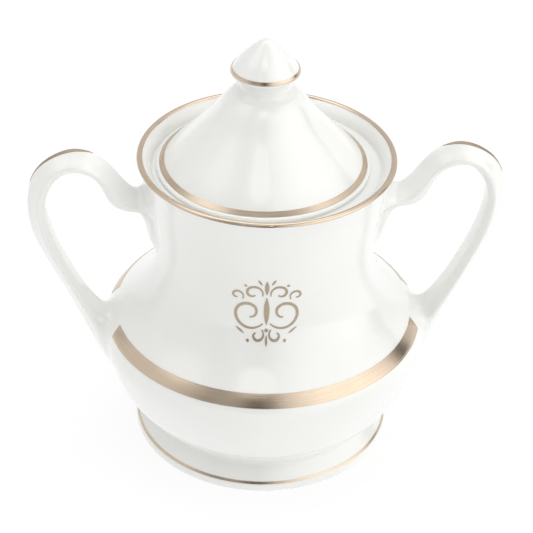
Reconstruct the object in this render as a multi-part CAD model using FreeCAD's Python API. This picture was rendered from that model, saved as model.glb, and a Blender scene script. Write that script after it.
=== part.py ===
import FreeCAD, Part
import math
import os

# A covered sugar bowl in glazed bone china: a thrown-shape bowl on a foot ring,
# two applied loop handles, and a loose lid with an applied knob. Fired gilding
# is drawn on the glaze as thin raised bands. Millimetres, +Z up, the handles lie
# along X, the front faces -Y, and the foot stands on z = 0.

Vector = FreeCAD.Vector
UP = Vector(0, 0, 1)
AXIS_POINT = Vector(0, 0, 0)

# ---- driving dimensions ---------------------------------------------------
FOOT_HEIGHT = 8.5
FOOT_RADIUS = 38.5
TREAD_WIDTH = 4.0
TREAD_ROUND = 0.45
# Outside of the foot from the standing edge up to the bowl: (radius, height).
FOOT_OUTLINE = [(FOOT_RADIUS, TREAD_ROUND), (38.35, 2.3), (37.2, 3.9), (35.8, 5.4), (34.8, 7.0),
                (34.4, FOOT_HEIGHT)]
RECESS_RADIUS = 31.0
WALL = 2.6
FLOOR_THICKNESS = 3.0
# Fillet between the floor and the wall inside: reach inward, rise, and its middle point.
FLOOR_FILLET_REACH = 4.5
FLOOR_FILLET_RISE = 2.5
FLOOR_FILLET_MIDDLE = (1.6, 0.8)
BASE_DOME = 1.0

# Outer surface of the bowl from the foot joint to below the lip: (radius, height).
BOWL_OUTLINE = [FOOT_OUTLINE[-1], (37.8, 11.0), (41.6, 15.7), (44.8, 22.0), (46.8, 28.3),
                (47.65, 34.2), (46.5, 37.9), (44.2, 40.8), (37.75, 47.1), (33.8, 53.4),
                (31.95, 60.4), (31.9, 68.3), (33.1, 76.9), (34.75, 85.5), (36.8, 92.2)]
LIP_TOP = 92.9
LIP_INNER_RADIUS = 35.35
LIP_INNER_HEIGHT = 92.55
LIP_SLOPE_SAG = 0.45

SEAT_HEIGHT = 89.2
SEAT_OUTER_RADIUS = 32.4
MOUTH_RADIUS = 28.4
SEAT_NOSE = 1.4
SEAT_UNDERSIDE = 80.5

LID_OFFSET = -1.0
LID_RADIUS = 30.4
LID_EDGE = 0.7
LID_WALL = 2.4
LID_EDGE_BEND = (30.2, 90.45)
LID_SEAT_RADIUS = 30.1
LID_INSIDE_HEIGHT = 95.0
LID_BAND_OUTER = (29.46, 90.65)
LID_BAND_INNER = (28.1, 91.64)
# Outer surface of the dome from the gilded edge up to the neck: (radius, height).
LID_OUTLINE = [LID_BAND_INNER, (24.9, 95.3), (20.8, 99.6), (17.5, 103.2), (14.4, 106.9),
               (11.7, 110.8), (9.2, 113.2)]
NECK_RADIUS = 7.0
NECK_HEIGHT = 114.8
FLANGE_RADIUS = 26.9
FLANGE_INNER_RADIUS = 24.6
FLANGE_DEPTH = 5.0
FLANGE_TAPER = 0.3
FLANGE_NOSE = (25.7, 83.5)
FLANGE_INNER_RISE = 1.0

NECK_BEND = (7.55, 114.2)
CROWN_RISE = 0.8

KNOB_RADIUS = 9.65
KNOB_RIM_HEIGHT = 119.6
KNOB_UNDER = (9.2, 118.95)
KNOB_UNDER_BEND = (9.55, 119.2)
KNOB_WAIST = (7.25, 117.1)
TOTAL_HEIGHT = 129.2
# Outside of the knob from its widest rim up to the pointed top: (radius, height).
KNOB_OUTLINE = [(KNOB_RADIUS, KNOB_RIM_HEIGHT), (9.6, 120.0), (9.3, 120.7), (8.75, 121.5), (7.2, 123.6),
                (5.7, 125.2), (4.3, 126.5), (2.8, 127.8), (1.4, 128.85), (0.0, TOTAL_HEIGHT)]
KNOB_BAND = (119.85, 120.85)

GILDING = 0.12
BELLY_BAND = (37.9, 41.15)
FOOT_BAND = (2.55, 3.2)
BAND_GAP_HALF_WIDTH = 11.6
BAND_GAP_HALF_HEIGHT = 15.0
BAND_GAP_CENTRE = 33.0

# Spine of one handle in the XZ plane, from inside the neck, over the loop and
# down into the belly: (x, z, outward depth, inward depth, half width).
HANDLE_STATIONS = [(30.5, 79.4, 3.0, 3.0, 6.2), (34.8, 79.4, 3.0, 3.2, 5.8),
                   (38.6, 79.7, 2.9, 3.7, 5.4), (41.5, 81.5, 2.95, 4.5, 5.2),
                   (44.4, 84.6, 3.1, 3.2, 5.0), (48.5, 89.6, 3.25, 2.5, 5.0),
                   (55.1, 92.7, 2.9, 3.2, 5.3), (61.3, 89.7, 2.95, 2.85, 5.1),
                   (65.1, 82.0, 3.05, 2.25, 4.8), (65.3, 72.8, 2.95, 2.3, 4.8),
                   (61.9, 61.6, 2.8, 2.15, 4.7), (58.0, 52.8, 2.7, 2.0, 4.8),
                   (54.5, 45.0, 2.65, 2.6, 5.1), (51.2, 38.0, 2.95, 4.2, 5.8),
                   (48.0, 31.4, 3.4, 5.6, 7.0), (43.4, 25.0, 3.4, 6.2, 8.0)]
# Handle section as shares of the outward or inward depth and of the half width.
HANDLE_SECTION = [(1.0, 0.0), (0.57, 0.46), (-0.25, 1.0), (-0.84, 0.7), (-1.0, 0.0), (-0.84, -0.7),
                  (-0.25, -1.0), (0.57, -0.46)]
# Each handle is luted on by hand, so one stands a little further out than the other.
REACH_RIGHT = 0.5
REACH_LEFT = -0.5
# Leaf that runs down the neck below each handle: (z, how far it stands out, half width).
LEAF_STATIONS = [(64.6, 0.2, 1.5), (65.4, 1.3, 2.3), (66.6, 2.1, 2.9), (68.6, 2.5, 3.5),
                 (71.5, 2.9, 4.1), (74.0, 3.5, 4.6), (76.0, 4.9, 4.9), (77.5, 7.2, 5.1)]
LEAF_DEPTH = 1.6

STRIPE_HALF_WIDTH = 1.05
STRIPE_TIP = 0.06
STRIPE_SKEW = 0.7
STRIPE_START = 5.42
STRIPE_END = 7.75
STRIPE_STEPS = 12
STRIPE_REACH = 5.0
BODY_CUT_TOP = 92.0

ORNAMENT_HEIGHT = 61.6
ORNAMENT_TURN = -3.3
# Scrolls of the ornament: (centre, radii, degrees from start to end, half width).
ORNAMENT_SCROLLS = [((4.9, -1.2), (5.0, 1.3), (-140, 260), 0.42), ((3.8, 5.4), (2.8, 0.9), (200, -130), 0.36),
                    ((2.6, -7.7), (2.0, 0.7), (130, 420), 0.33), ((8.3, 4.2), (1.9, 0.6), (215, -110), 0.30)]
# Leaves beside the middle of the ornament: (foot, tip, bulge).
ORNAMENT_SIDE_LEAVES = [((1.3, 8.3), (2.5, 10.2), 0.34), ((6.2, -7.4), (8.6, -5.7), 0.42)]
ORNAMENT_MIDDLE_LEAVES = [((0.0, -4.9), (0.0, 4.0), 0.8), ((0.0, 4.8), (0.0, 9.8), 0.62),
                          ((0.0, -10.6), (0.0, -7.6), 0.3)]
# Dots of the ornament: (position, radius); the first lies on its middle line.
ORNAMENT_MIDDLE_DOT = ((0.0, -6.3), 0.5)
ORNAMENT_SIDE_DOTS = [((5.2, -9.2), 0.40), ((5.9, 7.9), 0.38)]
SCROLL_STEPS = 13
SCROLL_TIP = 0.45
ORNAMENT_ZONE = (48.0, 76.0)


def point(radius, height):
    return Vector(radius, 0, height)


def spline(points):
    curve = Part.BSplineCurve()
    curve.interpolate(points)
    return curve


def line(start, end):
    return Part.LineSegment(start, end).toShape()


def arc(start, middle, end):
    return Part.Arc(start, middle, end).toShape()


def turned(edges):
    """Solid of revolution about Z from the closed outline given as edges."""
    face = Part.Face(Part.Wire(Part.__sortEdges__(edges)))
    return face.revolve(AXIS_POINT, UP, 360)


def side_normal(curve, parameter):
    """Unit normal in the XZ plane, on the right-hand side of the curve's direction."""
    tangent = curve.tangent(parameter)[0]
    return Vector(tangent.z, 0, -tangent.x)


def offset_points(curve, distance, first, last, count):
    """Points at a distance on the right-hand side of a curve in the XZ plane."""
    steps = [first + (last - first) * i / (count - 1) for i in range(count)]
    return [curve.value(u) + side_normal(curve, u) * distance for u in steps]


def parameter_at_height(curve, height):
    """Curve parameter where a rising curve passes the height."""
    low, high = curve.FirstParameter, curve.LastParameter
    for _ in range(40):
        middle = (low + high) / 2
        if curve.value(middle).z < height:
            low = middle
        else:
            high = middle
    return (low + high) / 2


def bowl_curve():
    return spline([point(r, z) for r, z in BOWL_OUTLINE])


def outer_solid(height_low, height_high, growth=0.0):
    """Everything inside the bowl's outer surface, grown outward, between two heights."""
    curve = bowl_curve()
    first = parameter_at_height(curve, height_low)
    last = parameter_at_height(curve, height_high)
    points = offset_points(curve, growth, first, last, 24)
    surface = spline(points)
    bottom = point(0, points[0].z)
    top = point(0, points[-1].z)
    return turned([surface.toShape(), line(points[-1], top), line(top, bottom), line(bottom, points[0])])


def bowl_body():
    outer = bowl_curve()
    foot_edge = point(*BOWL_OUTLINE[0])
    lip_outer = point(*BOWL_OUTLINE[-1])
    lip_top = point((lip_outer.x + LIP_INNER_RADIUS) / 2, LIP_TOP)
    lip_inner = point(LIP_INNER_RADIUS, LIP_INNER_HEIGHT)
    seat_outer = point(SEAT_OUTER_RADIUS, SEAT_HEIGHT)
    slope_middle = point((LIP_INNER_RADIUS + SEAT_OUTER_RADIUS) / 2 - LIP_SLOPE_SAG,
                         (LIP_INNER_HEIGHT + SEAT_HEIGHT) / 2)
    nose_top = point(MOUTH_RADIUS + SEAT_NOSE / 2, SEAT_HEIGHT)
    nose_middle = point(MOUTH_RADIUS, SEAT_HEIGHT - SEAT_NOSE / 2)
    nose_bottom = point(MOUTH_RADIUS + SEAT_NOSE / 3, SEAT_HEIGHT - SEAT_NOSE)
    floor_height = FOOT_HEIGHT + FLOOR_THICKNESS
    first = parameter_at_height(outer, floor_height + FLOOR_FILLET_RISE)
    last = parameter_at_height(outer, SEAT_UNDERSIDE)
    inner_points = offset_points(outer, -WALL, first, last, 14)
    inner = spline(inner_points)
    floor_edge = point(inner_points[0].x - FLOOR_FILLET_REACH, floor_height)
    bend_reach, bend_rise = FLOOR_FILLET_MIDDLE
    floor_bend = point(inner_points[0].x - bend_reach, floor_height + bend_rise)
    floor_centre = point(0, floor_height)
    dome_edge = point(RECESS_RADIUS, FOOT_HEIGHT)
    dome_middle = point(RECESS_RADIUS / 2, FOOT_HEIGHT + BASE_DOME * 0.75)
    dome_centre = point(0, FOOT_HEIGHT + BASE_DOME)
    edges = [outer.toShape(), arc(lip_outer, lip_top, lip_inner), arc(lip_inner, slope_middle, seat_outer),
             line(seat_outer, nose_top), arc(nose_top, nose_middle, nose_bottom),
             line(nose_bottom, inner_points[-1]), inner.toShape(),
             arc(inner_points[0], floor_bend, floor_edge), line(floor_edge, floor_centre),
             line(floor_centre, dome_centre), arc(dome_centre, dome_middle, dome_edge),
             line(dome_edge, foot_edge)]
    return turned(edges)


def foot_curve():
    """Flared outside of the foot ring, from the standing edge up to the bowl."""
    return spline([point(r, z) for r, z in FOOT_OUTLINE])


def foot_ring():
    outer = foot_curve()
    start = outer.value(outer.FirstParameter)
    top_outer = outer.value(outer.LastParameter)
    diagonal = TREAD_ROUND * (1 - math.sqrt(0.5))
    inner_radius = FOOT_RADIUS - TREAD_WIDTH
    tread_outer = point(FOOT_RADIUS - TREAD_ROUND, 0)
    tread_bend = point(FOOT_RADIUS - diagonal, diagonal)
    tread_inner = point(inner_radius + TREAD_ROUND, 0)
    heel_bend = point(inner_radius + diagonal, diagonal)
    heel = point(inner_radius, TREAD_ROUND)
    top_inner = point(RECESS_RADIUS, FOOT_HEIGHT)
    edges = [outer.toShape(), line(top_outer, top_inner), line(top_inner, heel),
             arc(heel, heel_bend, tread_inner), line(tread_inner, tread_outer),
             arc(tread_outer, tread_bend, start)]
    return turned(edges)


def band_on(curve, low, high):
    """Gilded ring of even thickness on a turned surface between two heights."""
    first = parameter_at_height(curve, low)
    last = parameter_at_height(curve, high)
    outer_points = offset_points(curve, GILDING, first, last, 5)
    start = curve.value(first)
    end = curve.value(last)
    edges = [curve.toShape(first, last), line(end, outer_points[-1]), spline(outer_points).toShape(),
             line(outer_points[0], start)]
    return turned(edges)


def belly_bands():
    """The belly band stops short of each handle, so it is a front arc and a back arc."""
    ring = band_on(bowl_curve(), *BELLY_BAND)
    ellipse = Part.Ellipse(Vector(0, 0, 0), BAND_GAP_HALF_HEIGHT, BAND_GAP_HALF_WIDTH)
    gap_face = Part.Face(Part.Wire(ellipse.toShape()))
    gap_face.rotate(AXIS_POINT, Vector(0, 1, 0), 90)
    gap_face.translate(Vector(-FOOT_RADIUS * 2, 0, BAND_GAP_CENTRE))
    gap = gap_face.extrude(Vector(FOOT_RADIUS * 4, 0, 0))
    arcs = ring.cut(gap).Solids
    front = min(arcs, key=lambda solid: solid.CenterOfMass.y)
    back = max(arcs, key=lambda solid: solid.CenterOfMass.y)
    return front, back


def lip_gilding():
    """Gold over the rounded top of the lip."""
    outer = point(*BOWL_OUTLINE[-1])
    inner = point(LIP_INNER_RADIUS, LIP_INNER_HEIGHT)
    top = point((outer.x + inner.x) / 2, LIP_TOP)
    outer_edge = outer + Vector(GILDING, 0, 0.02)
    inner_edge = inner + Vector(-GILDING, 0, 0.02)
    top_edge = top + Vector(0, 0, GILDING)
    return turned([arc(outer, top, inner), line(inner, inner_edge),
                   arc(inner_edge, top_edge, outer_edge), line(outer_edge, outer)])


def section(station, tangent, growth=0.0):
    """Handle section: a soft outer crest, full sides and a flatter inner face."""
    x, z, outward, inward, half_width = station
    outward += growth
    inward += growth
    half_width += growth
    normal = Vector(-tangent.z, 0, tangent.x)
    centre = Vector(x, 0, z)
    points = []
    for depth, breadth in HANDLE_SECTION:
        reach = depth * (outward if depth > 0 else inward)
        points.append(centre + normal * reach + Vector(0, breadth * half_width, 0))
    curve = Part.BSplineCurve()
    curve.interpolate(Points=points, PeriodicFlag=True)
    return Part.Wire(curve.toShape())


def spine():
    points = [Vector(x, 0, z) for x, z, _, _, _ in HANDLE_STATIONS]
    curve = Part.BSplineCurve()
    curve.interpolate(Points=points, Parameters=[float(i) for i in range(len(points))])
    return curve


def handle_loop(growth=0.0):
    path = spine()
    wires = []
    for index, station in enumerate(HANDLE_STATIONS):
        tangent = path.tangent(float(index))[0]
        wires.append(section(station, tangent, growth))
    return Part.makeLoft(wires, True, False)


def handle_leaf():
    """Tapering tongue of clay pressed down the neck under the handle."""
    neck = bowl_curve()
    wires = []
    for height, proud, half_width in LEAF_STATIONS:
        surface = neck.value(parameter_at_height(neck, height)).x
        depth = (proud + LEAF_DEPTH) / 2
        centre = Vector(surface + proud - depth, 0, height)
        if depth > half_width:
            ellipse = Part.Ellipse(centre, depth, half_width)
        else:
            ellipse = Part.Ellipse(centre + Vector(0, half_width, 0), centre + Vector(depth, 0, 0), centre)
        wires.append(Part.Wire(ellipse.toShape()))
    return Part.makeLoft(wires, True, False)


def handle(reach):
    loop = handle_loop().fuse(handle_leaf()).translated(Vector(reach, 0, 0))
    keep = loop.cut(outer_solid(FOOT_HEIGHT, BODY_CUT_TOP))
    return max(keep.Solids, key=lambda solid: solid.Volume)


def handle_stripe(solid, reach):
    """Pointed gilded leaf along the crest, from inside the top to the outer side."""
    path = spine()
    wires = []
    for step in range(STRIPE_STEPS + 1):
        share = step / STRIPE_STEPS
        position = STRIPE_START + (STRIPE_END - STRIPE_START) * share
        centre = path.value(position)
        tangent = path.tangent(position)[0]
        normal = Vector(-tangent.z, 0, tangent.x)
        half = STRIPE_TIP + STRIPE_HALF_WIDTH * math.sin(math.pi * share ** STRIPE_SKEW)
        side = Vector(0, half, 0)
        low = centre + normal
        high = centre + normal * STRIPE_REACH
        wires.append(Part.makePolygon([low - side, low + side, high + side, high - side, low - side]))
    limit = Part.makeLoft(wires, True, False)
    stripe = handle_loop(GILDING).common(limit).translated(Vector(reach, 0, 0)).cut(solid)
    return max(stripe.Solids, key=lambda part: part.Volume)


def mirrored(shape):
    return shape.mirror(AXIS_POINT, Vector(1, 0, 0))


def lid_curve():
    return spline([point(*p) for p in LID_OUTLINE])


def lid():
    outer = lid_curve()
    neck_top = point(NECK_RADIUS, NECK_HEIGHT)
    neck_bend = point(*NECK_BEND)
    shoulder = point(*LID_OUTLINE[-1])
    band_start = point(*LID_BAND_OUTER)
    band_end = point(*LID_BAND_INNER)
    edge_top = point(LID_RADIUS, SEAT_HEIGHT + LID_EDGE)
    edge_bend = point(*LID_EDGE_BEND)
    seat_edge = point(LID_SEAT_RADIUS, SEAT_HEIGHT)
    seat_inner = point(FLANGE_RADIUS, SEAT_HEIGHT)
    flange_bottom = point(FLANGE_RADIUS - FLANGE_TAPER, SEAT_HEIGHT - FLANGE_DEPTH)
    flange_round = point(*FLANGE_NOSE)
    flange_inner_bottom = point(FLANGE_INNER_RADIUS, SEAT_HEIGHT - FLANGE_DEPTH)
    flange_inner_top = point(FLANGE_INNER_RADIUS, SEAT_HEIGHT + FLANGE_INNER_RISE)
    inside_start = parameter_at_height(outer, LID_INSIDE_HEIGHT)
    inner_points = offset_points(outer, -LID_WALL, inside_start, outer.LastParameter, 6)
    inner = spline(inner_points)
    crown = point(0, inner_points[-1].z + CROWN_RISE)
    top_centre = point(0, NECK_HEIGHT)
    edges = [outer.toShape(), arc(shoulder, neck_bend, neck_top), line(neck_top, top_centre),
             line(top_centre, crown), line(crown, inner_points[-1]), inner.toShape(),
             line(inner_points[0], flange_inner_top), line(flange_inner_top, flange_inner_bottom),
             arc(flange_inner_bottom, flange_round, flange_bottom), line(flange_bottom, seat_inner),
             line(seat_inner, seat_edge), line(seat_edge, edge_top),
             arc(edge_top, edge_bend, band_start), line(band_start, band_end)]
    return turned(edges)


def knob_curve():
    return spline([point(r, z) for r, z in KNOB_OUTLINE])


def knob():
    """Button with a gilded rim and a pointed cap on a short waisted neck."""
    outer = knob_curve()
    neck = point(NECK_RADIUS, NECK_HEIGHT)
    rim_under = point(*KNOB_UNDER)
    rim = point(KNOB_RADIUS, KNOB_RIM_HEIGHT)
    base = point(0, NECK_HEIGHT)
    top = point(0, TOTAL_HEIGHT)
    edges = [outer.toShape(), arc(neck, point(*KNOB_WAIST), rim_under),
             arc(rim_under, point(*KNOB_UNDER_BEND), rim), line(top, base), line(base, neck)]
    return turned(edges)


def ring_on_cone(start, end):
    """Gilded ring lying on the cone between two outline points."""
    low = point(*start)
    high = point(*end)
    direction = (high - low).normalize()
    lift = Vector(direction.z, 0, -direction.x) * GILDING
    return turned([line(low, high), line(high, high + lift), line(high + lift, low + lift),
                   line(low + lift, low)])


def scroll(centre, radii, angles, half_width):
    """Flat spiral stroke that swells in the middle and tapers to both ends."""
    inner = []
    outer = []
    for step in range(SCROLL_STEPS):
        share = step / (SCROLL_STEPS - 1)
        radius = radii[0] + (radii[1] - radii[0]) * share
        angle = math.radians(angles[0] + (angles[1] - angles[0]) * share)
        half = half_width * (SCROLL_TIP + (1 - SCROLL_TIP) * math.sin(math.pi * share))
        ray = Vector(math.cos(angle), 0, math.sin(angle))
        origin = Vector(centre[0], 0, centre[1])
        inner.append(origin + ray * (radius - half))
        outer.append(origin + ray * (radius + half))
    edges = [spline(outer).toShape(), line(outer[-1], inner[-1]), spline(inner).toShape(),
             line(inner[0], outer[0])]
    return Part.Face(Part.Wire(Part.__sortEdges__(edges)))


def leaf_stroke(foot, tip, bulge):
    """Slender pointed leaf between two points (x, z)."""
    low = Vector(foot[0], 0, foot[1])
    high = Vector(tip[0], 0, tip[1])
    middle = (low + high) * 0.5
    side = Vector(bulge, 0, 0)
    return Part.Face(Part.Wire([arc(low, middle + side, high), arc(high, middle - side, low)]))


def dot(centre, radius):
    circle = Part.Circle(Vector(centre[0], 0, centre[1]), Vector(0, 1, 0), radius)
    return Part.Face(Part.Wire(circle.toShape()))


def ornament_strokes():
    """Symmetric scrollwork of volutes and leaves, drawn in the XZ plane about the origin."""
    one_side = [scroll(*stroke) for stroke in ORNAMENT_SCROLLS]
    one_side += [leaf_stroke(*leaf) for leaf in ORNAMENT_SIDE_LEAVES]
    one_side += [dot(*spot) for spot in ORNAMENT_SIDE_DOTS]
    middle = [leaf_stroke(*leaf) for leaf in ORNAMENT_MIDDLE_LEAVES] + [dot(*ORNAMENT_MIDDLE_DOT)]
    return one_side + [mirrored(face) for face in one_side] + middle


def front_ornament(shell):
    """Scrollwork laid on the front of the bowl as raised gilding; no two strokes touch."""
    solids = []
    for face in ornament_strokes():
        stroke = face.translated(Vector(0, -FOOT_RADIUS * 1.5, ORNAMENT_HEIGHT))
        prism = stroke.extrude(Vector(0, FOOT_RADIUS * 1.5, 0))
        prism.rotate(AXIS_POINT, UP, ORNAMENT_TURN)
        solids += shell.common(prism).Solids
    return Part.makeCompound(solids)


def on_lid(shape):
    return shape.translated(Vector(LID_OFFSET, 0, 0))


def build():
    right_handle = handle(REACH_RIGHT)
    left_handle = handle(REACH_LEFT)
    front_band, back_band = belly_bands()
    zone_low, zone_high = ORNAMENT_ZONE
    shell = outer_solid(zone_low, zone_high, GILDING).cut(outer_solid(zone_low - 1, zone_high + 1))
    return {
        "bowl_body": bowl_body(),
        "foot_ring": foot_ring(),
        "handle_right": right_handle,
        "handle_left": mirrored(left_handle),
        "handle_gilding_right": handle_stripe(right_handle, REACH_RIGHT),
        "handle_gilding_left": mirrored(handle_stripe(left_handle, REACH_LEFT)),
        "rim_gilding": lip_gilding(),
        "belly_gilding_front": front_band,
        "belly_gilding_back": back_band,
        "foot_gilding": band_on(foot_curve(), *FOOT_BAND),
        "front_ornament_gilding": front_ornament(shell),
        "lid": on_lid(lid()),
        "lid_knob": on_lid(knob()),
        "lid_gilding": on_lid(ring_on_cone(LID_BAND_OUTER, LID_BAND_INNER)),
        "knob_gilding": on_lid(band_on(knob_curve(), *KNOB_BAND)),
    }


def report(name, shape):
    box = shape.optimalBoundingBox()
    print(f"{name}: {len(shape.Solids)} solid(s), {shape.Volume / 1000:.3f} cm3, valid {shape.isValid()}, "
          f"z {box.ZMin:.2f} to {box.ZMax:.2f}, x {box.XMin:.2f} to {box.XMax:.2f}")


os.makedirs("parts", exist_ok=True)
for node, shape in build().items():
    report(node, shape)
    shape.exportStep(f"parts/{node}.step")
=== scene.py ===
import math

import bmesh
import bpy
from mathutils import Matrix, Vector
from mathutils.bvhtree import BVHTree


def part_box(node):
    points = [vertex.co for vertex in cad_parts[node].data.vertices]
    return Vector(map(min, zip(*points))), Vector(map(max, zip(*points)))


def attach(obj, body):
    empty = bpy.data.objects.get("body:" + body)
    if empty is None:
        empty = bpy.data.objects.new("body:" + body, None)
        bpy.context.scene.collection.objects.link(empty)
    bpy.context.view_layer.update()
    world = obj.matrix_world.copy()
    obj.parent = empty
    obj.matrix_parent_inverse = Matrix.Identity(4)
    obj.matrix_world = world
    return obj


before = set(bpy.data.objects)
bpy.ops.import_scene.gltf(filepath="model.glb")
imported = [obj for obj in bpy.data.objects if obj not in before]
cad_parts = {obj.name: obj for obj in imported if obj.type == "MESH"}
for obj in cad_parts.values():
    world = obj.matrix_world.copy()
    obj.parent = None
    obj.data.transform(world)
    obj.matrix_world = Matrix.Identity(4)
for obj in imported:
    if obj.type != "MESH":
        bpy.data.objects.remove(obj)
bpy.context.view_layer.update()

# The camera stands in front of the bowl, a little to its left, and looks down on it.
CAMERA_TURN = math.radians(5.13)
CAMERA_ELEVATION = math.radians(34.86)
CAMERA_DISTANCE = 0.53235
CAMERA_ROLL = math.radians(1.51)
CAMERA_TARGET = Vector((0.00067, 0.0, 0.0540))
SENSOR_WIDTH = 36.0
LENS = 121.85

# Brightness of the studio round the bowl: (degrees to the camera's right, radiance).
STUDIO_RING = [(-180, 0.84), (-150, 0.84), (-131, 0.84), (-121, 0.66), (-114, 0.84), (-105, 0.94), (-66, 0.96),
               (-55, 0.84), (-45, 0.60), (-38, 0.48), (-31, 0.50), (-24, 0.62), (-17, 0.60), (-10, 0.33),
               (-5, 0.12), (0, 0.08), (4, 0.22), (10, 0.46), (15, 0.82), (21, 1.20), (31, 1.44),
               (40, 1.64), (55, 1.86), (80, 1.84), (90, 1.62), (100, 1.30), (121, 1.02), (140, 0.92),
               (180, 0.84)]
# A dark card low on the right, between these bearings and below this height.
CARD = [(0, 1.0), (101, 1.0), (107, 0.25), (110, 0.0), (116, 0.0), (121, 1.0), (180, 1.0)]
CARD_FROM = 0.30
CARD_TO = 0.44
# Brightness overhead: (how far the direction points away from the camera, radiance).
CEILING = [(-0.55, 0.58), (-0.27, 0.50), (-0.10, 0.95), (0.06, 1.5), (0.35, 2.5), (0.7, 2.9)]
CEILING_FROM = 0.77
CEILING_FULL = 0.90
# Two soft glows overhead, in front and to the left: bearing, height, cosine of the edge, cosine
# of the even part, radiance.
GLOWS = [(-5, 58, 0.976, 0.993, 1.35), (-80, 52, 0.930, 0.985, 0.60)]
# The ceiling's ramp holds radiance over this, because a ramp's colours stay under 1.
CEILING_SCALE = 3.0
RING_WARMTH = 0.995
STUDIO_LEVEL = 0.92
FLOOR_GLOW = 0.81
FLOOR_HALF = 3.0


# ---- camera ---------------------------------------------------------------
def turned_to_camera(vector):
    """A vector given with -Y towards the camera, in the row frame."""
    return Matrix.Rotation(-CAMERA_TURN, 3, "Z") @ Vector(vector)


def make_camera():
    data = bpy.data.cameras.new("camera")
    data.sensor_width = SENSOR_WIDTH
    data.lens = LENS
    data.clip_start = 0.01
    camera = bpy.data.objects.new("camera", data)
    bpy.context.scene.collection.objects.link(camera)
    ce, se = math.cos(CAMERA_ELEVATION), math.sin(CAMERA_ELEVATION)
    position = turned_to_camera(CAMERA_TARGET + CAMERA_DISTANCE * Vector((0, -ce, se)))
    right = turned_to_camera((1, 0, 0))
    up = turned_to_camera((0, se, ce))
    back = turned_to_camera((0, -ce, se))
    cr, sr = math.cos(CAMERA_ROLL), math.sin(CAMERA_ROLL)
    side = right * cr + up * sr
    top = up * cr - right * sr
    rotation = Matrix((side, top, back)).transposed()
    camera.matrix_world = Matrix.Translation(position) @ rotation.to_4x4()
    bpy.context.scene.camera = camera


# ---- node helpers ---------------------------------------------------------
class Graph:
    """Short calls for building a node tree."""

    def __init__(self, tree):
        self.nodes = tree.nodes
        self.links = tree.links

    def add(self, kind, **values):
        node = self.nodes.new("ShaderNode" + kind)
        for key, value in values.items():
            if hasattr(node, key):
                setattr(node, key, value)
            else:
                node.inputs[key.replace("_", " ")].default_value = value
        return node

    def link(self, source, target):
        self.links.new(source, target)
        return target

    def math(self, operation, a, b=0.0, clamp=False):
        node = self.nodes.new("ShaderNodeMath")
        node.operation = operation
        node.use_clamp = clamp
        for socket, value in zip(node.inputs, (a, b)):
            if isinstance(value, (int, float)):
                socket.default_value = value
            else:
                self.links.new(value, socket)
        return node.outputs[0]

    def ramp(self, factor, stops):
        node = self.nodes.new("ShaderNodeValToRGB")
        elements = node.color_ramp.elements
        while len(elements) < len(stops):
            elements.new(0.5)
        for element, (position, color) in zip(elements, stops):
            element.position = position
            element.color = (*color, 1) if len(color) == 3 else color
        self.links.new(factor, node.inputs["Fac"])
        return node.outputs["Color"]

    def smooth_step(self, value, start, end, top=1.0):
        node = self.add("MapRange", interpolation_type="SMOOTHSTEP", From_Min=start, From_Max=end, To_Max=top)
        self.links.new(value, node.inputs["Value"])
        return node.outputs[0]

    def mix_colors(self, blend_type, factor, first, second):
        node = self.add("MixRGB", blend_type=blend_type)
        for socket, value in zip(node.inputs, (factor, first, second)):
            if isinstance(value, (int, float, tuple)):
                socket.default_value = value
            else:
                self.links.new(value, socket)
        return node.outputs[0]


# ---- light ----------------------------------------------------------------
def studio_ring(g, bearing_share, height):
    """Light round the bowl by bearing, less the dark card low on the right."""
    tones = [((degrees + 180) / 360, (level / 2, level / 2, level / 2 * RING_WARMTH))
             for degrees, level in STUDIO_RING]
    ring = g.ramp(bearing_share, tones)
    card = g.ramp(bearing_share, [(degrees / 360 + 0.5, (level,) * 3) for degrees, level in CARD])
    above = g.smooth_step(height, CARD_FROM, CARD_TO)
    shade = g.mix_colors("MIX", above, card, (1, 1, 1, 1))
    return g.mix_colors("MULTIPLY", 1.0, ring, shade)


def studio_ceiling(g, x, y):
    """Light overhead, which grows from the camera's side to the far side."""
    away = (math.sin(CAMERA_TURN), math.cos(CAMERA_TURN))
    backward = g.math("ADD", g.math("MULTIPLY", x, away[0]), g.math("MULTIPLY", y, away[1]))
    share = g.math("ADD", g.math("MULTIPLY", backward, 0.5), 0.5)
    over = g.ramp(share, [(place / 2 + 0.5, (level / CEILING_SCALE,) * 3) for place, level in CEILING])
    gain = CEILING_SCALE / 2
    return g.mix_colors("MULTIPLY", 1.0, over, (gain, gain, gain, 1))


def studio_glows(g, direction):
    """Sum of the soft glows overhead."""
    total = 0.0
    for bearing, height, edge, even, level in GLOWS:
        bearing, height = math.radians(bearing), math.radians(height)
        flat = math.cos(height)
        toward = g.add("VectorMath", operation="DOT_PRODUCT")
        toward.inputs[1].default_value = turned_to_camera(
            (math.sin(bearing) * flat, -math.cos(bearing) * flat, math.sin(height)))
        g.link(direction, toward.inputs[0])
        glow = g.smooth_step(toward.outputs["Value"], edge, even, level / 2)
        total = g.math("ADD", glow, total)
    return total


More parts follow.
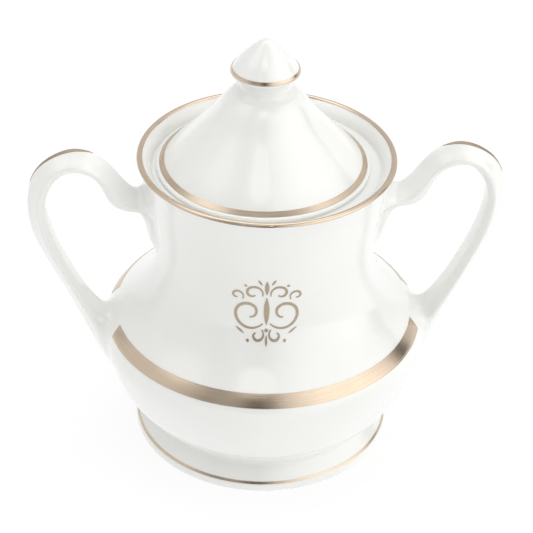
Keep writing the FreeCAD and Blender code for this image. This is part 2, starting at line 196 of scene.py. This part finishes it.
def make_world():
    """White to the camera; a studio of soft light to everything else. Ramps hold half the radiance."""
    world = bpy.data.worlds.new("studio")
    world.use_nodes = True
    world.node_tree.nodes.clear()
    g = Graph(world.node_tree)
    out = g.add("OutputWorld")
    seen = g.add("Background", Color=(1, 1, 1, 1))
    lit = g.add("Background", Strength=2.0 * STUDIO_LEVEL)
    mix = g.add("MixShader")
    path = g.add("LightPath")
    direction = g.add("TexCoord").outputs["Generated"]
    parts = g.add("SeparateXYZ")
    g.link(direction, parts.inputs[0])
    x, y, z = parts.outputs
    # Bearing from the camera's side of the bowl, positive to the camera's right.
    bearing = g.math("ADD", g.math("ARCTAN2", x, g.math("MULTIPLY", y, -1.0)), CAMERA_TURN)
    bearing_share = g.math("FRACT", g.math("ADD", g.math("DIVIDE", bearing, 2 * math.pi), 0.5))
    rise = g.smooth_step(z, CEILING_FROM, CEILING_FULL)
    room = g.mix_colors("MIX", rise, studio_ring(g, bearing_share, z), studio_ceiling(g, x, y))
    g.link(g.mix_colors("ADD", 1.0, room, studio_glows(g, direction)), lit.inputs["Color"])
    g.link(path.outputs["Is Camera Ray"], mix.inputs[0])
    g.link(lit.outputs[0], mix.inputs[1])
    g.link(seen.outputs[0], mix.inputs[2])
    g.link(mix.outputs[0], out.inputs["Surface"])
    bpy.context.scene.world = world
    world.cycles.sampling_method = "MANUAL"
    world.cycles.sample_map_resolution = 1024


def make_floor():
    mesh = bpy.data.meshes.new("floor")
    corners = [(x * FLOOR_HALF, y * FLOOR_HALF, 0) for x, y in ((-1, -1), (1, -1), (1, 1), (-1, 1))]
    mesh.from_pydata(corners, [], [(0, 1, 2, 3)])
    floor = bpy.data.objects.new("floor", mesh)
    bpy.context.scene.collection.objects.link(floor)
    material = bpy.data.materials.new("floor_white")
    material.use_nodes = True
    material.node_tree.nodes.clear()
    g = Graph(material.node_tree)
    out = g.add("OutputMaterial")
    glow = g.add("Emission", Strength=FLOOR_GLOW)
    paint = g.add("BsdfDiffuse", Color=(0.2, 0.2, 0.2, 1))
    both = g.add("AddShader")
    g.link(glow.outputs[0], both.inputs[0])
    g.link(paint.outputs[0], both.inputs[1])
    g.link(both.outputs[0], out.inputs["Surface"])
    mesh.materials.append(material)


# ---- materials ------------------------------------------------------------
GOLD_BAND = ((0.575, 0.465, 0.355), (0.70, 0.575, 0.445))
GOLD_DRAWN = ((0.42, 0.345, 0.255), (0.52, 0.43, 0.325))
# The handles' gilding is a darker copy of the gold tones: painted shade standing in for the darker
# surroundings that the handle tops reflect.
GOLD_HANDLE_PAINTED_SHADE = ((0.33, 0.262, 0.20), (0.42, 0.335, 0.26))
BURNISHED = (0.16, 0.27)
SATIN = (0.40, 0.50)
# Turns an angle into a length for the strokes, and strokes per metre along, across and up.
STROKE_RADIUS = 0.03
BAND_STROKES = (90, 9000, 9000)
DRAWN_STROKES = (1500, 1500, 1500)


def china():
    """Warm white china under a clear glaze, with faint clouding, waviness and rare specks."""
    material = bpy.data.materials.new("glazed_china")
    material.use_nodes = True
    g = Graph(material.node_tree)
    shader = g.nodes["Principled BSDF"]
    shader.inputs["Roughness"].default_value = 0.32
    shader.inputs["Specular IOR Level"].default_value = 0.45
    shader.inputs["Coat Weight"].default_value = 1.0
    shader.inputs["Coat Roughness"].default_value = 0.035
    shader.inputs["Coat IOR"].default_value = 1.6
    place = g.add("TexCoord").outputs["Object"]
    cloud = g.add("TexNoise", Scale=42.0, Detail=3.0)
    g.link(place, cloud.inputs["Vector"])
    body = g.ramp(cloud.outputs["Fac"], [(0.32, (0.862, 0.862, 0.836)), (0.68, (0.892, 0.894, 0.870))])
    speck = g.add("TexVoronoi", Scale=95.0, Randomness=1.0)
    g.link(place, speck.inputs["Vector"])
    rare = g.add("TexWhiteNoise")
    g.link(speck.outputs["Position"], rare.inputs["Vector"])
    chosen = g.math("GREATER_THAN", rare.outputs["Value"], 0.985)
    near = g.math("LESS_THAN", speck.outputs["Distance"], 0.016)
    dot = g.math("MULTIPLY", chosen, near)
    dot = g.math("MULTIPLY", dot, 0.55)
    mix = g.add("MixRGB")
    mix.inputs["Color2"].default_value = (0.32, 0.29, 0.25, 1)
    g.link(dot, mix.inputs["Fac"])
    g.link(body, mix.inputs["Color1"])
    g.link(mix.outputs[0], shader.inputs["Base Color"])
    # The glaze lies in slow waves with a fine orange-peel on top.
    wave = g.add("TexNoise", Scale=75.0, Detail=1.0)
    peel = g.add("TexNoise", Scale=900.0, Detail=2.0)
    g.link(place, wave.inputs["Vector"])
    g.link(place, peel.inputs["Vector"])
    height = g.math("ADD", wave.outputs["Fac"], g.math("MULTIPLY", peel.outputs["Fac"], 0.035))
    bump = g.add("Bump", Strength=0.30, Distance=0.00025)
    g.link(height, bump.inputs["Height"])
    g.link(bump.outputs[0], shader.inputs["Coat Normal"])
    return material


def gold(name, around_axis=True, centre=0.0, tones=GOLD_BAND, polish=BURNISHED):
    """Champagne gilding; on the bands it is burnished with fine strokes that follow them."""
    material = bpy.data.materials.new(name)
    material.use_nodes = True
    g = Graph(material.node_tree)
    shader = g.nodes["Principled BSDF"]
    shader.inputs["Metallic"].default_value = 1.0
    place = g.add("TexCoord").outputs["Object"]
    parts = g.add("SeparateXYZ")
    g.link(place, parts.inputs[0])
    x, y, z = parts.outputs
    if around_axis:
        x = g.math("SUBTRACT", x, centre)
        angle = g.math("ARCTAN2", y, x)
        radius = g.math("SQRT", g.math("ADD", g.math("MULTIPLY", x, x), g.math("MULTIPLY", y, y)))
        x, y = g.math("MULTIPLY", angle, STROKE_RADIUS), radius
    along = g.add("CombineXYZ")
    for source, target in zip((x, y, z), along.inputs):
        g.link(source, target)
    stretch = g.add("Mapping")
    stretch.inputs["Scale"].default_value = BAND_STROKES if around_axis else DRAWN_STROKES
    g.link(along.outputs[0], stretch.inputs["Vector"])
    stroke = g.add("TexNoise", Scale=1.0, Detail=3.0)
    g.link(stretch.outputs[0], stroke.inputs["Vector"])
    cloud = g.add("TexNoise", Scale=140.0, Detail=2.0)
    g.link(place, cloud.inputs["Vector"])
    tone = g.math("ADD", g.math("MULTIPLY", stroke.outputs["Fac"], 0.7),
                  g.math("MULTIPLY", cloud.outputs["Fac"], 0.3))
    color = g.ramp(tone, [(0.3, tones[0]), (0.7, tones[1])])
    g.link(color, shader.inputs["Base Color"])
    rough = g.add("MapRange", To_Min=polish[0], To_Max=polish[1])
    g.link(tone, rough.inputs["Value"])
    g.link(rough.outputs[0], shader.inputs["Roughness"])
    bump = g.add("Bump", Strength=0.35, Distance=0.00003)
    g.link(stroke.outputs["Fac"], bump.inputs["Height"])
    g.link(bump.outputs[0], shader.inputs["Normal"])
    return material


def set_material(piece, material):
    piece.data.materials.clear()
    piece.data.materials.append(material)


# ---- slip fillets where the handles are luted on --------------------------
SLIP_VOXEL = 0.00045
SLIP_WIDTH = 0.0048
SLIP_REACH = 0.0075
SLIP_MARGIN = 0.00007
SLIP_BLEND = 0.00016
SLIP_STEPS = 8
BOWL_CUT = 0.022
CUT_CLEARANCE = 0.003
SKIN_RELAX_PASSES = 8
INSIDE_ALIGNMENT = -0.96
FLATTEST_SLOPE = 0.2


def tree_of(piece):
    corners = [vertex.co for vertex in piece.data.vertices]
    return BVHTree.FromPolygons(corners, [polygon.vertices for polygon in piece.data.polygons])


def distance_to(tree, place):
    """Signed distance to a closed surface, the direction away from it and the surface normal."""
    near, normal, _, distance = tree.find_nearest(place)
    if distance < 1e-6:
        return 0.0, normal, normal
    away = (place - near) / distance
    # Off a sharp edge the nearest face is seen at a slant, and such a point is always outside.
    if away.dot(normal) < INSIDE_ALIGNMENT:
        return -distance, -away, normal
    return distance, away, normal


def joined_skin(bowl, handle, sign):
    """Voxel skin of the bowl's near side and one handle together."""
    mesh = bmesh.new()
    mesh.from_mesh(bowl.data)
    bmesh.ops.remove_doubles(mesh, verts=mesh.verts, dist=1e-7)
    everything = mesh.verts[:] + mesh.edges[:] + mesh.faces[:]
    bmesh.ops.bisect_plane(mesh, geom=everything, plane_co=(sign * BOWL_CUT, 0, 0), plane_no=(-sign, 0, 0),
                           clear_outer=True)
    bmesh.ops.holes_fill(mesh, edges=[edge for edge in mesh.edges if edge.is_boundary], sides=0)
    mesh.from_mesh(handle.data)
    joined = bpy.data.meshes.new("joint_source")
    mesh.to_mesh(joined)
    mesh.free()
    piece = bpy.data.objects.new("joint_source", joined)
    bpy.context.scene.collection.objects.link(piece)
    remesh = piece.modifiers.new("remesh", "REMESH")
    remesh.mode = "VOXEL"
    remesh.voxel_size = SLIP_VOXEL
    relax = piece.modifiers.new("relax", "SMOOTH")
    relax.factor = 0.5
    relax.iterations = SKIN_RELAX_PASSES
    skin = bpy.data.meshes.new_from_object(piece.evaluated_get(bpy.context.evaluated_depsgraph_get()))
    bpy.data.objects.remove(piece)
    bpy.data.meshes.remove(joined)
    return skin


def make_slip(side, sign, material):
    """Fillet of slip round both roots of a handle; its rim dives just under the glaze."""
    bowl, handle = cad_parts["bowl_body"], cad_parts["handle_" + side]
    bowl_tree, handle_tree = tree_of(bowl), tree_of(handle)
    mesh = bmesh.new()
    mesh.from_mesh(joined_skin(bowl, handle, sign))
    spare = []
    for vertex in mesh.verts:
        place = vertex.co.copy()
        keep = abs(place.x) > BOWL_CUT + CUT_CLEARANCE
        for _ in range(SLIP_STEPS):
            if not keep:
                break
            from_bowl, away_bowl, face_bowl = distance_to(bowl_tree, place)
            if abs(from_bowl) > SLIP_REACH or face_bowl.x * place.x + face_bowl.y * place.y < 0:
                keep = False
                break
            from_handle, away_handle, _ = distance_to(handle_tree, place)
            if abs(from_handle) > SLIP_REACH:
                keep = False
                break
            share = min(max(0.5 + 0.5 * (from_handle - from_bowl) / SLIP_WIDTH, 0.0), 1.0)
            fill = SLIP_WIDTH * share * (1 - share)
            field = from_handle * (1 - share) + from_bowl * share - fill
            rise = min(from_bowl, from_handle) - field
            ease = min(rise / SLIP_BLEND, 1.0)
            target = -SLIP_MARGIN * (1 - ease * ease * (3 - 2 * ease))
            slope = away_handle * (1 - share) + away_bowl * share
            if slope.length < FLATTEST_SLOPE:
                keep = False
                break
            step_size = min(max((field - target) / slope.length_squared, -SLIP_VOXEL), SLIP_VOXEL)
            place = place - slope * step_size
        if keep:
            vertex.co = place
        else:
            spare.append(vertex)
    bmesh.ops.delete(mesh, geom=spare, context="VERTS")
    for face in mesh.faces:
        face.smooth = True
    data = bpy.data.meshes.new("joint_slip_" + side)
    mesh.to_mesh(data)
    mesh.free()
    piece = bpy.data.objects.new("joint_slip_" + side, data)
    bpy.context.scene.collection.objects.link(piece)
    set_material(piece, material)
    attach(piece, "bowl")


make_camera()
make_world()
make_floor()
bpy.context.scene.view_settings.view_transform = "Standard"

china_material = china()
LID_CENTRE = (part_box("lid")[0].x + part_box("lid")[1].x) / 2
gold_band = gold("fired_gold_band")
gold_lid = gold("fired_gold_lid", True, LID_CENTRE)
gold_drawn = gold("fired_gold_drawn", False, 0.0, GOLD_DRAWN, SATIN)
# Gold with painted shade for the handle stripes: darker tones in place of darker reflections; its satin
# roughness is a real finish.
gold_handle_painted_shade = gold("fired_gold_handle_painted_shade", False, 0.0, GOLD_HANDLE_PAINTED_SHADE, SATIN)
for name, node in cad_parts.items():
    if name in ("lid_gilding", "knob_gilding"):
        set_material(node, gold_lid)
    elif name.startswith("handle_gilding"):
        set_material(node, gold_handle_painted_shade)
    elif name == "front_ornament_gilding":
        set_material(node, gold_drawn)
    elif "gilding" in name:
        set_material(node, gold_band)
    else:
        set_material(node, china_material)
    for polygon in node.data.polygons:
        polygon.use_smooth = True
make_slip("right", 1, china_material)
make_slip("left", -1, china_material)
